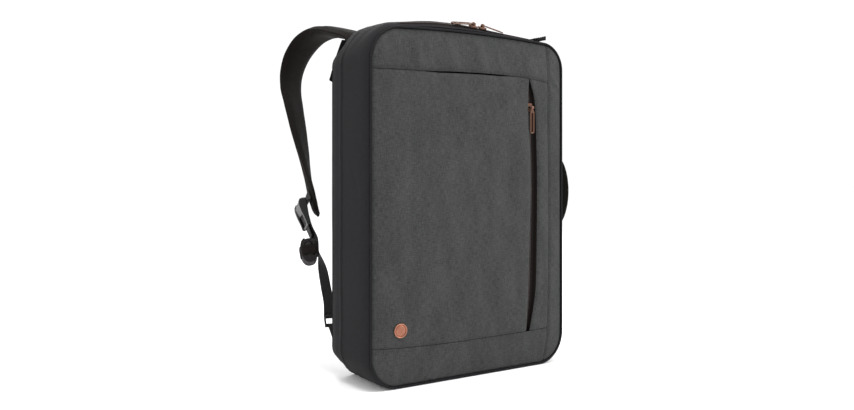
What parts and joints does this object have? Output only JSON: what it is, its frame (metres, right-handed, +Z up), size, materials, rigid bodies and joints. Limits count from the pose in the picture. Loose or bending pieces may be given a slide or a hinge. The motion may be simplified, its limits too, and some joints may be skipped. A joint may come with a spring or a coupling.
{
  "type": "convertible backpack",
  "caption": "Slim fabric laptop bag that stands upright, with padded shoulder straps hanging from its back, a padded side handle, zips with metal pulls and a round metal rivet.",
  "frame": {"origin": "middle of the flat bottom, on the surface that the bag stands on", "axes": "+Z up along the bag's height, +X to the right seen from the front, -Y out of the front panel and +Y out of the padded back"},
  "size_m": [0.3929, 0.2688, 0.4729],
  "materials": {
    "front_fabric": "matt heathered charcoal canvas",
    "gusset_nylon": "matt dark grey nylon",
    "piping": "black woven cord piping",
    "back_mesh": "black padded air mesh",
    "zip_tape": "dark brown zip tape with a nylon coil",
    "copper": "satin copper-plated metal",
    "strap_fabric": "matt black-brown padded fabric",
    "webbing": "black ribbed webbing",
    "buckle_plastic": "moulded black plastic, slightly glossy",
    "handle_fabric": "matt black padded fabric"
  },
  "bodies": {
    "bag": {"front_pocket": "front_fabric", "front_top_band": "front_fabric", "front_bottom_band": "front_fabric", "front_placket": "front_fabric", "front_side_strip": "front_fabric", "gusset_main": "gusset_nylon", "gusset_back": "gusset_nylon", "strap_flap": "gusset_nylon", "zip_end_tab": "gusset_nylon", "front_piping": "piping", "back_piping": "piping", "back_panel": "back_mesh", "main_zip": "zip_tape", "front_zip": "zip_tape", "front_slider": "copper", "slider_left": "copper", "slider_right": "copper", "front_rivet": "copper", "shoulder_strap_left": "strap_fabric", "shoulder_strap_right": "strap_fabric", "buckle_fold_left": "webbing", "lower_webbing_left": "webbing", "webbing_bundle_left": "webbing", "lower_tab_left": "webbing", "buckle_fold_right": "webbing", "lower_webbing_right": "webbing", "webbing_bundle_right": "webbing", "lower_tab_right": "webbing", "handle_patch_low": "webbing", "handle_patch_high": "webbing", "buckle_left": "buckle_plastic", "buckle_right": "buckle_plastic", "lower_loop_left": "buckle_plastic", "lower_loop_right": "buckle_plastic", "carry_handle": "handle_fabric"},
    "front_pull": {"front_pull": "copper"},
    "zip_pull_left": {"zip_pull_left": "copper"},
    "zip_pull_right": {"zip_pull_right": "copper"}
  },
  "joints": [
    {"name": "front_pull_hinge", "type": "hinge", "parent": "bag", "child": "front_pull", "pos_m": [0.09393, -0.05882, 0.35622], "axis": [-1, 0, 0], "range_deg": [0, 150]},
    {"name": "zip_pull_left_hinge", "type": "hinge", "parent": "bag", "child": "zip_pull_left", "pos_m": [0.00572, -0.04232, 0.4642], "axis": [0.0237, 0.8991, 0.4372], "range_deg": [0, 95]},
    {"name": "zip_pull_right_hinge", "type": "hinge", "parent": "bag", "child": "zip_pull_right", "pos_m": [0.02105, -0.04211, 0.46336], "axis": [-0.0245, -0.9173, -0.3975], "range_deg": [0, 95]}
  ]
}
